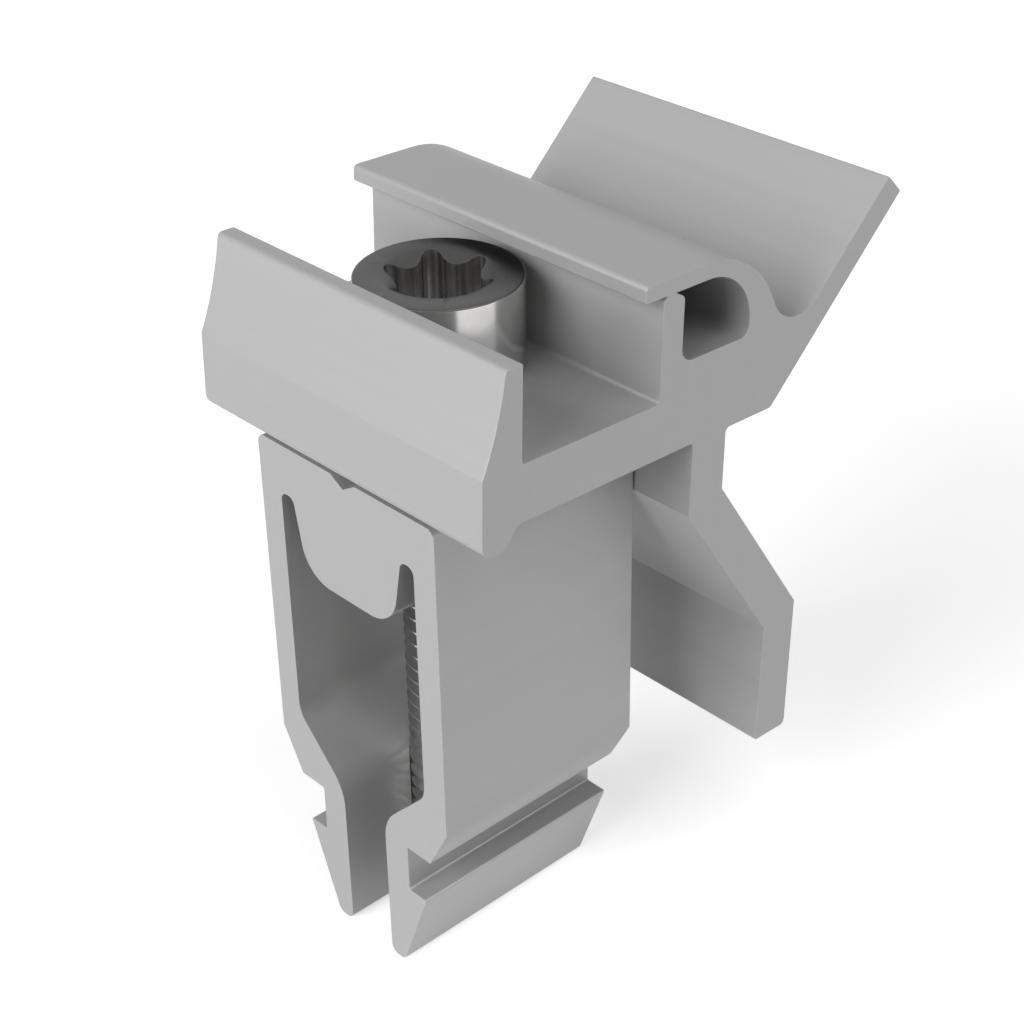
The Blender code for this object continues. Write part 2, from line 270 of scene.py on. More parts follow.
def push_out(name: str, plane: Plane, corners: list[Corner], length: float) -> Object:
    """Draws a section and pushes it out into a solid that reaches equally far to both sides.

    Args:
        name: The object's name.
        plane: The plane that the section lies in.
        corners: The section's corners in order.
        length: How far it is pushed out in all.

    Returns:
        The closed solid.
    """
    following = [*corners[1:], corners[0]]
    rounds = [
        Round.of(corners[index - 1], corner, following[index]) if corner.radius else None
        for index, corner in enumerate(corners)
    ]
    first = rounds[0].start if rounds[0] else corners[0].point
    pen = Pen(name, plane, first, -length / 2)
    for corner, arc in zip(corners, rounds):
        if arc:
            pen.round_off(arc)
        else:
            pen.line_to(corner.point)
    pen.line_to(first)
    pen.fill()
    bpy.ops.mesh.extrude_region_move(TRANSFORM_OT_translate={"value": plane.push * length})
    face_outwards()
    return pen.lay_down()


def turn_round(name: str, profile: list[Corner], sides: int) -> Object:
    """Turns a profile about Z into a solid.

    Args:
        name: The object's name.
        profile: The profile's corners by radius and height, which start and end on the axis.
        sides: How many steps the turn has.

    Returns:
        The closed solid.
    """
    pen = Pen(name, Plane.ALONG_Y, profile[0].point)
    for index, corner in enumerate(profile[1:-1], start=1):
        if corner.radius:
            pen.round_off(Round.of(profile[index - 1], corner, profile[index + 1]))
        else:
            pen.line_to(corner.point)
    pen.line_to(profile[-1].point)
    bpy.ops.mesh.select_all(action="SELECT")
    bpy.ops.mesh.spin(steps=sides, angle=math.tau, center=(0, 0, 0), axis=(0, 0, 1))
    weld()
    face_outwards()
    return pen.lay_down()


def combine(piece: Object, tool: Object, operation: str) -> None:
    """Joins, cuts or trims a piece with a tool, and removes the tool.

    Args:
        piece: The piece that is changed.
        tool: The closed solid that changes it.
        operation: The Boolean's operation.
    """
    take_up(piece)
    boolean = piece.modifiers.new(tool.name, "BOOLEAN")
    boolean.operation = operation
    boolean.solver = "EXACT"
    boolean.object = tool
    bpy.ops.object.modifier_apply(modifier=boolean.name)
    bpy.data.objects.remove(tool, do_unlink=True)


def drill(piece: Object, profile: list[Corner], sides: int) -> None:
    """Cuts a round hole, given by its profile from axis to axis, out of a piece."""
    combine(piece, turn_round("drill", profile, sides), "DIFFERENCE")


def break_end_edges(piece: Object, plane: Plane, reach: float, width: float) -> None:
    """Bevels the edges round both sawn ends of an extrusion.

    Args:
        piece: The extrusion, pushed out evenly to both sides.
        plane: The plane of its section.
        reach: Half its length.
        width: The bevel's width.
    """
    take_up(piece)
    bpy.ops.object.mode_set(mode="EDIT")
    bpy.ops.mesh.select_mode(type="EDGE")
    bpy.ops.mesh.select_all(action="DESELECT")
    mesh = bmesh.from_edit_mesh(piece.data)
    for edge in mesh.edges:
        at_end = all(abs(abs(v.co.dot(plane.push)) - reach) < PLANE_TOLERANCE for v in edge.verts)
        edge.select_set(at_end and edge.calc_face_angle(0.0) > SMOOTH_ANGLE)
    bmesh.update_edit_mesh(piece.data)
    bpy.ops.mesh.bevel(offset=width, segments=EDGE_STEPS, profile=0.5, clamp_overlap=False)
    bpy.ops.mesh.select_mode(type="VERT")
    bpy.ops.object.mode_set(mode="OBJECT")


def smooth(piece: Object) -> None:
    """Shades a piece smooth between its sharp edges, and keeps its flat faces flat.

    Args:
        piece: The finished piece.
    """
    take_up(piece)
    bpy.ops.object.shade_smooth_by_angle(angle=SMOOTH_ANGLE)
    weighted = piece.modifiers.new("weighted_normals", "WEIGHTED_NORMAL")
    weighted.keep_sharp = True
    bpy.ops.object.modifier_apply(modifier=weighted.name)


def settle(piece: Object, turn: float = 0.0, lift: float = 0.0) -> None:
    """Turns a piece about Y and lifts it, and puts that into its mesh.

    Args:
        piece: The piece.
        turn: The angle that it is turned through.
        lift: How far it is lifted.
    """
    take_up(piece)
    piece.rotation_euler.y = turn
    piece.location.z = lift
    bpy.ops.object.transform_apply(location=True, rotation=True, scale=True)


def hand_over(
    piece: Object, material: Material, body: str, node: str
) -> None:
    """Dresses a finished piece and lets it ride on its body in place of its node.

    Args:
        piece: The finished piece.
        material: Its material.
        body: The body that it rides on.
        node: The node that it stands for.
    """
    piece.data.materials.append(material)
    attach(piece, body)
    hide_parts(node)
    log.info("%s: %d faces on %s", piece.name, len(piece.data.polygons), body)


class Nodes:
    """A short way to add and link the nodes of one node tree."""

    def __init__(self, tree: NodeTree) -> None:
        """Keeps the tree."""
        self.tree = tree

    def add(self, kind: str, **settings: object) -> Node:
        """Adds a node.

        Args:
            kind: The node's type.
            settings: The node's properties, by name.

        Returns:
            The new node.
        """
        node = self.tree.nodes.new(kind)
        for name, value in settings.items():
            setattr(node, name, value)
        return node

    def feed(self, socket: NodeSocket, source: Value) -> None:
        """Links an output to a socket, or sets the socket to a plain value.

        Args:
            socket: The input that is fed.
            source: An output socket or a plain value.
        """
        if isinstance(source, NodeSocket):
            self.tree.links.new(source, socket)
        else:
            socket.default_value = source

    def math(
        self, operation: str, first: Value, second: Value = 0.0, clamp: bool = False
    ) -> NodeSocket:
        """Adds a math node. A third value, where the operation has one, is left at a half.

        Args:
            operation: The node's operation.
            first: Its first value.
            second: Its second value.
            clamp: Whether the result is kept between 0 and 1.

        Returns:
            The output.
        """
        node = self.add("ShaderNodeMath", operation=operation, use_clamp=clamp)
        self.feed(node.inputs[0], first)
        self.feed(node.inputs[1], second)
        return node.outputs[0]

    def measure(self, operation: str, first: Value, second: Value | None = None) -> NodeSocket:
        """Adds a vector math node that puts out a number.

        Args:
            operation: The node's operation.
            first: Its first vector.
            second: Its second vector, where the operation has one.

        Returns:
            The output.
        """
        node = self.add("ShaderNodeVectorMath", operation=operation)
        self.feed(node.inputs[0], first)
        if second is not None:
            self.feed(node.inputs[1], second)
        return node.outputs["Value"]

    def facing(self, direction: Value) -> NodeSocket:
        """Gives the cosine of the angle between the flat face and a direction."""
        normal = self.add("ShaderNodeNewGeometry").outputs["True Normal"]
        return self.measure("DOT_PRODUCT", normal, direction)

    def noise(self, vector: Value, scale: Value, detail: float = 2.0) -> NodeSocket:
        """Adds a noise texture.

        Args:
            vector: The coordinate that it reads.
            scale: How many lumps it has to a unit of the coordinate.
            detail: How many finer layers are laid over it.

        Returns:
            Its value, about 0.5.
        """
        node = self.add("ShaderNodeTexNoise")
        self.feed(node.inputs["Vector"], vector)
        self.feed(node.inputs["Scale"], scale)
        node.inputs["Detail"].default_value = detail
        return node.outputs["Fac"]

    def stretch(self, vector: Value, scale: tuple[float, float, float]) -> NodeSocket:
        """Scales a coordinate. A texture that reads it is drawn out where the scale is small.

        Args:
            vector: The coordinate.
            scale: The scale along each axis.

        Returns:
            The scaled coordinate.
        """
        node = self.add("ShaderNodeMapping")
        self.feed(node.inputs["Vector"], vector)
        node.inputs["Scale"].default_value = scale
        return node.outputs["Vector"]

    def sharpen(self, value: Value, gain: float) -> NodeSocket:
        """Widens a value about its middle, 0.5, by a gain and keeps it between 0 and 1."""
        centred = self.math("SUBTRACT", value, 0.5)
        return self.math("MULTIPLY_ADD", centred, gain, clamp=True)

    def spread(
        self, value: Value, low: float, high: float, start: float = 0.0, end: float = 1.0
    ) -> NodeSocket:
        """Maps a value from one span to another and keeps it inside.

        Args:
            value: The value.
            low: What the start becomes.
            high: What the end becomes.
            start: Where the value's own span starts.
            end: Where it ends.

        Returns:
            The mapped value.
        """
        node = self.add("ShaderNodeMapRange")
        for label, setting in (("Value", value), ("From Min", start), ("From Max", end)):
            self.feed(node.inputs[label], setting)
        node.inputs["To Min"].default_value = low
        node.inputs["To Max"].default_value = high
        return node.outputs["Result"]

    def choose(self, mask: Value, off: Value, on: Value) -> NodeSocket:
        """Chooses between two values by a mask.

        Args:
            mask: The mask.
            off: The value where it is 0.
            on: The value where it is 1.

        Returns:
            The chosen value.
        """
        node = self.add("ShaderNodeMix", data_type="FLOAT")
        self.feed(node.inputs["Factor"], mask)
        self.feed(node.inputs["A"], off)
        self.feed(node.inputs["B"], on)
        return node.outputs["Result"]


def new_group(name: str, inputs: dict[str, float | None], outputs: list[str]) -> NodeTree:
    """Makes an empty shader node group.

    Args:
        name: The group's name.
        inputs: The default of each number input by name, or None where the input is a vector.
        outputs: The names of its value outputs.

    Returns:
        The group, with its input and output nodes.
    """
    group = bpy.data.node_groups.new(name, "ShaderNodeTree")
    for label, default in inputs.items():
        kind = "NodeSocketVector" if default is None else "NodeSocketFloat"
        socket = group.interface.new_socket(label, in_out="INPUT", socket_type=kind)
        if default is not None:
            socket.default_value = default
    for label in outputs:
        group.interface.new_socket(label, in_out="OUTPUT", socket_type="NodeSocketFloat")
    group.nodes.new("NodeGroupInput").name = "input"
    group.nodes.new("NodeGroupOutput").name = "output"
    return group


class Effects:
    """The effects that the finishes share, each a node group that is built once."""

    LINE_DETAIL = 3.0
    BAND_COARSENESS = 0.12
    ALONG_LIMIT = 0.05
    SQUARE_LIMIT = 0.98
    WEAR_SCALE = 900.0
    WEAR_LEAST = 0.2
    WEAR_MOST = 1.4
    CLOUD_DETAIL = 4.0
    GRAIN_FINENESS = 90.0

    def __init__(self) -> None:
        """Builds the three groups."""
        self.drawn_lines = self.build_drawn_lines()
        self.rubbed_and_highlit_edges = self.build_rubbed_and_highlit_edges()
        self.handling = self.build_handling()

    def build_drawn_lines(self) -> NodeTree:
        """Builds the fine lines that a tool leaves, from a coordinate stretched along them.

        Returns:
            The group, which puts out fine lines and broader bands.
        """
        group = new_group("drawn_lines", {"Vector": None, "Fineness": 1.0}, ["Lines", "Bands"])
        nodes = Nodes(group)
        given = group.nodes["input"].outputs
        out = group.nodes["output"].inputs
        nodes.feed(out["Lines"], nodes.noise(given["Vector"], given["Fineness"], self.LINE_DETAIL))
        broad = nodes.math("MULTIPLY", given["Fineness"], self.BAND_COARSENESS)
        nodes.feed(out["Bands"], nodes.noise(given["Vector"], broad))
        return group

    def build_rubbed_and_highlit_edges(self) -> NodeTree:
        """Builds the mask of broken edges, whose faces lie neither square to an axis nor along it.
        The mask is partly rubbed wear and partly a painted edge highlight.

        Returns:
            The group, which puts out the mask.
        """
        group = new_group("rubbed_and_highlit_edges", {"Vector": None, "Axis": None, "Amount": 1.0}, ["Mask"])
        nodes = Nodes(group)
        given = group.nodes["input"].outputs
        facing = nodes.math("ABSOLUTE", nodes.facing(given["Axis"]))
        off_side = nodes.math("GREATER_THAN", facing, self.ALONG_LIMIT)
        off_end = nodes.math("LESS_THAN", facing, self.SQUARE_LIMIT)
        edge = nodes.math("MULTIPLY", off_side, off_end)
        wear = nodes.noise(given["Vector"], self.WEAR_SCALE)
        wear_and_highlight = nodes.spread(wear, self.WEAR_LEAST, self.WEAR_MOST)
        wear_and_highlight = nodes.math("MULTIPLY", wear_and_highlight, given["Amount"])
        mask = nodes.math("MULTIPLY", edge, wear_and_highlight, clamp=True)
        nodes.feed(group.nodes["output"].inputs["Mask"], mask)
        return group

    def build_handling(self) -> NodeTree:
        """Builds the faint uneven sheen that storing and handling leave on bare metal.

        Returns:
            The group, which puts out a soft cloud and a fine grain.
        """
        group = new_group("handling", {"Vector": None, "Scale": 1.0}, ["Cloud", "Grain"])
        nodes = Nodes(group)
        given = group.nodes["input"].outputs
        out = group.nodes["output"].inputs
        nodes.feed(out["Cloud"], nodes.noise(given["Vector"], given["Scale"], self.CLOUD_DETAIL))
        fine = nodes.math("MULTIPLY", given["Scale"], self.GRAIN_FINENESS)
        nodes.feed(out["Grain"], nodes.noise(given["Vector"], fine))
        return group

    @staticmethod
    def place(nodes: Nodes, group: NodeTree, vector: Value, **values: Value) -> Node:
        """Places a group in a material.

        Args:
            nodes: The material's nodes.
            group: The group.
            vector: The coordinate that it reads.
            values: Its own numbers, by input name.

        Returns:
            The group node.
        """
        node = nodes.add("ShaderNodeGroup", node_tree=group)
        nodes.feed(node.inputs["Vector"], vector)
        for label, value in values.items():
            node.inputs[label].default_value = value
        return node


def principled(name: str) -> tuple[Material, Nodes, Node]:
    """Makes a material with one Principled BSDF.

    Args:
        name: The material's name.

    Returns:
        The material, its nodes and the shader.
    """
    material = bpy.data.materials.new(name)
    material.use_nodes = True
    return material, Nodes(material.node_tree), material.node_tree.nodes["Principled BSDF"]


def mix_colour(nodes: Nodes, factor: Value, first: Value, second: Value) -> NodeSocket:
    """Mixes two colours, each an output or a plain colour.

    Args:
        nodes: The material's nodes.
        factor: How far the mix is towards the second colour.
        first: The colour at 0.
        second: The colour at 1.

    Returns:
        The mixed colour.
    """
    node = nodes.add("ShaderNodeMix", data_type="RGBA")
    nodes.feed(node.inputs["Factor"], factor)
    for label, colour in (("A", first), ("B", second)):
        nodes.feed(node.inputs[label], (*colour, 1.0) if isinstance(colour, tuple) else colour)
    return node.outputs["Result"]


def set_bump(nodes: Nodes, shader: Node, height: Value, strength: float) -> None:
    """Gives a shader the bump of a height.

    Args:
        nodes: The material's nodes.
        shader: The shader.
        height: The height that it follows.
        strength: How strong the bump is.
    """
    bump = nodes.add("ShaderNodeBump")
    bump.inputs["Strength"].default_value = strength
    bump.inputs["Distance"].default_value = BUMP_DISTANCE
    nodes.feed(bump.inputs["Height"], height)
    nodes.feed(shader.inputs["Normal"], bump.outputs["Normal"])


@dataclass(frozen=True)
class ExtrudedAluminium:
    """Bare extruded aluminium: lines along the extrusion, sawn ends, and edges lightened partly as
    rubbed wear and partly as a painted highlight.
    """

    name: str
    along: Plane
    dark: Colour = (0.355, 0.355, 0.355)
    light: Colour = (0.405, 0.405, 0.405)
    metallic: float = 0.25
    roughness: float = 0.42
    line_stretch: float = 0.004
    saw_stretch: float = 0.03
    line_fineness: float = 5200.0
    saw_fineness: float = 2600.0
    cloud_scale: float = 110.0
    wear: float = 0.6
    band_share: float = 0.6
    line_share: float = 0.4
    wear_and_highlight_share: float = 0.5
    roughness_swing: float = 0.03
    end_limit: float = 0.9
    bump: float = 0.03

    @staticmethod
    def scale(axis: Plane, stretch: float) -> tuple[float, float, float]:
        """Gives a coordinate scale that draws lines along one axis."""
        return tuple(stretch if axis is each else 1.0 for each in Plane)

    def end_mask(self, nodes: Nodes) -> NodeSocket:
        """Tells the sawn ends, where it is 1, from the drawn sides."""
        facing = nodes.math("ABSOLUTE", nodes.facing(self.along.push))
        return nodes.math("GREATER_THAN", facing, self.end_limit)

    def build(self, effects: Effects) -> Material:
        """Builds the material.

        Args:
            effects: The shared effects.

        Returns:
            The material.
        """
        material, nodes, shader = principled(self.name)
        place = nodes.add("ShaderNodeTexCoord").outputs["Object"]
        drawn = nodes.stretch(place, self.scale(self.along, self.line_stretch))
        sawn = nodes.stretch(place, self.scale(Plane.ALONG_Z, self.saw_stretch))
        die = effects.place(nodes, effects.drawn_lines, drawn, Fineness=self.line_fineness)
        saw = effects.place(nodes, effects.drawn_lines, sawn, Fineness=self.saw_fineness)
        handling = effects.place(nodes, effects.handling, place, Scale=self.cloud_scale)
        axis = self.along.push
        rubbed_and_highlit = effects.place(nodes, effects.rubbed_and_highlit_edges, place, Axis=axis, Amount=self.wear)
        ends = self.end_mask(nodes)
        lines = nodes.choose(ends, die.outputs["Lines"], saw.outputs["Lines"])
        bands = nodes.choose(ends, die.outputs["Bands"], handling.outputs["Grain"])
        broad = nodes.math("MULTIPLY", bands, self.band_share)
        tone = nodes.math("ADD", broad, nodes.math("MULTIPLY", lines, self.line_share))
        # The edge mask lightens the base colour: partly rubbed wear, partly a painted edge
        # highlight.
        wear_and_highlight = nodes.math("MULTIPLY", rubbed_and_highlit.outputs["Mask"], self.wear_and_highlight_share)
        tone = nodes.math("ADD", tone, wear_and_highlight, clamp=True)
        nodes.feed(shader.inputs["Base Color"], mix_colour(nodes, tone, self.dark, self.light))
        shader.inputs["Metallic"].default_value = self.metallic
        swing = self.roughness_swing
        cloud = nodes.spread(
            handling.outputs["Cloud"], self.roughness - swing, self.roughness + swing
        )
        streak = nodes.spread(lines, -swing, swing)
        nodes.feed(shader.inputs["Roughness"], nodes.math("ADD", cloud, streak))
        set_bump(nodes, shader, lines, self.bump)
        return material


@dataclass(frozen=True)
class ColdFormedSteel:
    """Steel: a satin head top painted dark as a painted dark reflection, a smooth side, and
    upright painted reflection streaks in the socket.
    """

    name: str
    head_seat: float
    socket_reach: float
    # The head top's colours are painted shade: a dark reflection painted into the base colour, not
    # the steel's own colour.
    painted_top_dark: Colour = (0.060, 0.059, 0.058)
    painted_top_light: Colour = (0.094, 0.092, 0.090)
    side_dark: Colour = (0.34, 0.335, 0.33)
    side_light: Colour = (0.92, 0.91, 0.90)
    top_roughness: float = 0.34
    side_roughness: float = 0.18
    slope: float = 0.3
    streak_stretch: float = 0.012
    streak_fineness: float = 2400.0
    streak_gain: float = 2.4
    thread_tone: float = 0.4
    cloud_scale: float = 260.0
    roughness_swing: float = 0.04
    bump: float = 0.05

    def head_mask(self, nodes: Nodes, place: Value) -> NodeSocket:
        """Tells the head, where it is 1, from the thread."""
        height = nodes.measure("DOT_PRODUCT", place, UP)
        return nodes.math("GREATER_THAN", height, self.head_seat)

    def top_mask(self, nodes: Nodes, on_head: Value) -> NodeSocket:
        """Tells the head's top with its rim and countersink, where it is 1, from the rest. It
        carries the top's satin roughness and its painted dark reflection.
        """
        facing_up = nodes.math("GREATER_THAN", nodes.facing(UP), self.slope)
        return nodes.math("MULTIPLY", facing_up, on_head)

    def outside_mask(self, nodes: Nodes, place: Value) -> NodeSocket:
        """Tells the head's outside, where it is 1, from the socket's walls and the thread."""
        spoke = nodes.measure("LENGTH", nodes.stretch(place, (1.0, 1.0, 0.0)))
        return nodes.math("GREATER_THAN", spoke, self.socket_reach)

    def build(self, effects: Effects) -> Material:
        """Builds the material.

        Args:
            effects: The shared effects.

        Returns:
            The material.
        """
        material, nodes, shader = principled(self.name)
        place = nodes.add("ShaderNodeTexCoord").outputs["Object"]
        upright = nodes.stretch(place, (1.0, 1.0, self.streak_stretch))
        streaks = effects.place(nodes, effects.drawn_lines, upright, Fineness=self.streak_fineness)
        handling = effects.place(nodes, effects.handling, place, Scale=self.cloud_scale)
        on_head = self.head_mask(nodes, place)
        top, outside = self.top_mask(nodes, on_head), self.outside_mask(nodes, place)
        # The socket's sharp light and dark upright streaks are painted reflections in the base
        # colour.
        painted_streaks = nodes.sharpen(streaks.outputs["Lines"], self.streak_gain)
        tone = nodes.choose(outside, painted_streaks, handling.outputs["Cloud"])
        tone = nodes.choose(on_head, self.thread_tone, tone)
        side = mix_colour(nodes, tone, self.side_dark, self.side_light)
        # The faces of the head that look up get a painted dark reflection in their base colour.
        level = mix_colour(nodes, handling.outputs["Grain"], self.painted_top_dark, self.painted_top_light)
        nodes.feed(shader.inputs["Base Color"], mix_colour(nodes, top, side, level))
        shader.inputs["Metallic"].default_value = 1.0
        base = nodes.spread(top, self.side_roughness, self.top_roughness)
        swing = self.roughness_swing
        cloud = nodes.spread(handling.outputs["Cloud"], -swing, swing)
        nodes.feed(shader.inputs["Roughness"], nodes.math("ADD", base, cloud))
        set_bump(nodes, shader, handling.outputs["Grain"], self.bump)
        return material


@dataclass
class RailFoot:
    """The foot: an extrusion along X with a boss for the screw and two barbed legs."""

    length: float = 20.6 * MM
    width: float = 20.8 * MM
    height: float = 32.3 * MM
    edge_radius: float = 0.8 * MM
    wall: float = 2.5 * MM
    shoulder_rise: float = 4.05 * MM
    shoulder_inset: float = 2.2 * MM
    notch_width: float = 2.9 * MM
    notch_depth: float = 0.85 * MM
    boss_height: float = 11.0 * MM
    boss_top_width: float = 12.9 * MM
    boss_bottom_width: float = 10.34 * MM
    boss_radius: float = 3.3 * MM
    slot_depth: float = 4.35 * MM
    slot_radius: float = 0.7 * MM
    neck_width: float = 10.8 * MM
    neck_height: float = 4.4 * MM
    neck_radius: float = 0.2 * MM
    barb_width: float = 15.0 * MM
    barb_height: float = 8.5 * MM
    barb_edge_radius: float = 0.15 * MM
    tip_thickness: float = 1.7 * MM
    tip_radius: float = 0.8 * MM
    leg_gap: float = 5.2 * MM
    throat_height: float = 6.6 * MM
    throat_upper_radius: float = 2.5 * MM
    throat_lower_radius: float = 4.5 * MM
    end_edge: float = 0.05 * MM
    bore_radius: float = 4.1 * MM
    bore_chamfer: float = 0.4 * MM
    bore_bottom: float = -6.9 * MM

    def side(self) -> list[Corner]:
        """Gives the section's positive half.

        Returns:
            Its corners, from the notch round to the boss.
        """
        half, cavity = self.width / 2, self.width / 2 - self.wall
        neck, barb, gap = self.neck_width / 2, self.barb_width / 2, self.leg_gap / 2
        tip_level = -self.neck_height - self.barb_height
        slot_level = self.height - self.slot_depth
        return [
            Corner(self.notch_width / 2, self.height),
            Corner(half, self.height, self.edge_radius),
            Corner(half, self.shoulder_rise),
            Corner(half - self.shoulder_inset, 0.0, self.barb_edge_radius),
            Corner(neck, 0.0, self.neck_radius),
            Corner(neck, -self.neck_height, self.neck_radius),
            Corner(barb, -self.neck_height, self.barb_edge_radius),
            Corner(gap + self.tip_thickness, tip_level, self.tip_radius),
            Corner(gap, tip_level, self.tip_radius),
            Corner(gap, self.throat_height - (cavity - gap), self.throat_lower_radius),
            Corner(cavity, self.throat_height, self.throat_upper_radius),
            Corner(cavity, slot_level, self.slot_radius),
            Corner(self.boss_top_width / 2, slot_level, self.slot_radius),
            Corner(self.boss_bottom_width / 2, self.height - self.boss_height, self.boss_radius),
        ]

    def build(self) -> Object:
        """Builds the foot with its bore.

        Returns:
            The closed solid.
        """
        side = self.side()
        notch = Corner(0.0, self.height - self.notch_depth)
        corners = [notch, *side, *(corner.mirrored for corner in reversed(side))]
        foot = push_out("foot_extrusion", Plane.ALONG_X, corners, self.length)
        break_end_edges(foot, Plane.ALONG_X, self.length / 2, self.end_edge)
        top, flare = self.height + OVERRUN, self.bore_radius + self.bore_chamfer
        profile = [
            Corner(0.0, top),
            Corner(flare + OVERRUN, top),
            Corner(flare, self.height),
            Corner(self.bore_radius, self.height - self.bore_chamfer),
            Corner(self.bore_radius, self.bore_bottom),
            Corner(0.0, self.bore_bottom),
        ]
        drill(foot, profile, HOLE_SIDES)
        smooth(foot)
        return foot

    def dress(self, piece: Object, effects: Effects) -> None:
        """Gives the foot its finish and lets it ride on the foot's body.

        Args:
            piece: The finished foot.
            effects: The shared effects.
        """
        finish = ExtrudedAluminium("foot_extruded_aluminium", Plane.ALONG_X)
        hand_over(piece, finish.build(effects), "foot", "rail_foot")


@dataclass
class ClampScrew:
    """The screw: a cylinder head with a six-lobe socket, and a rolled right-hand thread."""

    length: float = 45.0 * MM
    thread_radius: float = 4.0 * MM
    root_radius: float = 3.24 * MM
    pitch: float = 1.25 * MM
    crest_width: float = 0.16 * MM
    root_width: float = 0.21 * MM
    root_hollow: float = 0.06 * MM
    plain_length: float = 1.6 * MM
    tip_chamfer: float = 0.8 * MM
    head_radius: float = 6.5 * MM
    head_height: float = 6.8 * MM
    head_edge_radius: float = 0.2 * MM
    fillet: float = 0.3 * MM
    lobe_reach: float = 4.35 * MM
    waist_reach: float = 3.2 * MM
    lobe_radius: float = 0.8 * MM
    socket_depth: float = 4.3 * MM
    countersink_radius: float = 4.45 * MM
    countersink_slope: float = math.tan(math.radians(30))
    socket_turn: float = math.radians(-3)
    lobes: int = 6
    sides: int = 128

    @property
    def seat(self) -> float:
        """The height of the head's underside, taken from the frame."""
        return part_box("clamp_screw")[1].z - self.head_height

    def thread_profile(self) -> list[Corner]:
        """Gives one pitch of the thread.

        Returns:
            Its corners, from a root down over a crest to the next root.
        """
        flank = (self.pitch - self.crest_width - self.root_width) / 2
        root_edge = self.root_width / 2
        return [
            Corner(self.root_radius - self.root_hollow, 0.0),
            Corner(self.root_radius, -root_edge),
            Corner(self.thread_radius, -root_edge - flank),
            Corner(self.thread_radius, root_edge + flank - self.pitch),
            Corner(self.root_radius, root_edge - self.pitch),
            Corner(self.root_radius - self.root_hollow, -self.pitch),
        ]

    def build_thread(self) -> Object:
        """Builds the threaded rod: one pitch of the profile screwed down the whole length.

        Returns:
            The closed solid.
        """
        profile = self.thread_profile()
        turns = math.ceil(self.length / self.pitch) + 2  # one to spare at each end
        start = Vector((0.0, -self.length - self.pitch))
        pen = Pen("thread", Plane.ALONG_Y, profile[0].point + start)
        for corner in profile[1:]:
            pen.line_to(corner.point + start)
        thread = pen.lay_down()
        take_up(thread)
        screw = thread.modifiers.new("helix", "SCREW")
        screw.axis = "Z"
        screw.angle = math.tau
        screw.screw_offset = self.pitch
        screw.iterations = turns
        screw.steps = screw.render_steps = self.sides // 2
        screw.use_merge_vertices = True
        screw.merge_threshold = WELD_DISTANCE
        screw.use_smooth_shade = True
        bpy.ops.object.modifier_apply(modifier=screw.name)
        bpy.ops.object.mode_set(mode="EDIT")
        weld()
        for height, direction in ((-self.plain_length / 2, 1.0), (-self.length, -1.0)):
            bpy.ops.mesh.select_all(action="SELECT")
            bpy.ops.mesh.bisect(
                plane_co=(0, 0, height),
                plane_no=(0, 0, direction),
                use_fill=True,
                clear_outer=True,
                threshold=WELD_DISTANCE,
            )
        face_outwards()
        bpy.ops.object.mode_set(mode="OBJECT")
        return thread

    def envelope(self) -> Object:
        """Builds the blank that the thread is trimmed to, which chamfers its tip.

        Returns:
            The closed solid.
        """
        outer = self.thread_radius + self.tip_chamfer
        tip = self.thread_radius - self.tip_chamfer
        profile = [
            Corner(0.0, OVERRUN),
            Corner(outer, OVERRUN),
            Corner(outer, 2 * self.tip_chamfer - self.length),
            Corner(tip, -self.length),
            Corner(0.0, -self.length),
        ]
        return turn_round("tip_envelope", profile, self.sides)

    def build_head(self) -> Object:
        """Builds the head with the plain stretch under it and the fillet between them.

        Returns:
            The closed solid.
        """
        head, shank = self.head_radius, self.thread_radius
        runout = self.thread_radius - self.root_radius + self.root_hollow
        profile = [
            Corner(0.0, self.head_height),
            Corner(head, self.head_height, self.head_edge_radius),
            Corner(head, 0.0, self.head_edge_radius),
            Corner(shank, 0.0, self.fillet),
            Corner(shank, -self.plain_length),
            Corner(shank - runout, -self.plain_length - runout),
            Corner(0.0, -self.plain_length - runout),
        ]
        return turn_round("screw_head", profile, self.sides)

    def build_socket(self) -> Object:
        """Builds the socket's cutter by spinning round each lobe and each waist in turn.

        Returns:
            The closed solid.
        """
        lobe_seat = self.lobe_reach - self.lobe_radius
        half_step = math.pi / self.lobes
        near = lobe_seat * math.cos(half_step)
        waist_radius = (
            lobe_seat**2 + self.waist_reach**2 - 2 * near * self.waist_reach - self.lobe_radius**2
        ) / (2 * (self.lobe_radius + near - self.waist_reach))
        lobe_centre = polar(lobe_seat, 0.0)
        waist_seat = self.waist_reach + waist_radius
        waist_centre = polar(waist_seat, half_step)
        toward = waist_centre - lobe_centre
        half = math.atan2(toward.y, toward.x)
        first = lobe_centre + polar(self.lobe_radius, -half)
        bottom = self.head_height - self.socket_depth
        pen = Pen("socket", Plane.ALONG_Z, turned_by(first, self.socket_turn), bottom)
        for lobe in range(self.lobes):
            middle = self.socket_turn + 2 * half_step * lobe
            pen.turn_about(polar(lobe_seat, middle), 2 * half)
            pen.turn_about(polar(waist_seat, middle + half_step), -2 * (half - half_step))
        pen.fill()
        rise = self.socket_depth + OVERRUN
        bpy.ops.mesh.extrude_region_move(TRANSFORM_OT_translate={"value": (0, 0, rise)})
        face_outwards()
        return pen.lay_down()

    def countersink(self) -> list[Corner]:
        """Gives the cone that breaks the socket's edge.

        Returns:
            The corners of its profile.
        """
        drop = self.countersink_radius * self.countersink_slope
        top = self.head_height + OVERRUN
        widened = self.countersink_radius + OVERRUN / self.countersink_slope
        return [Corner(0.0, top), Corner(widened, top), Corner(0.0, self.head_height - drop)]

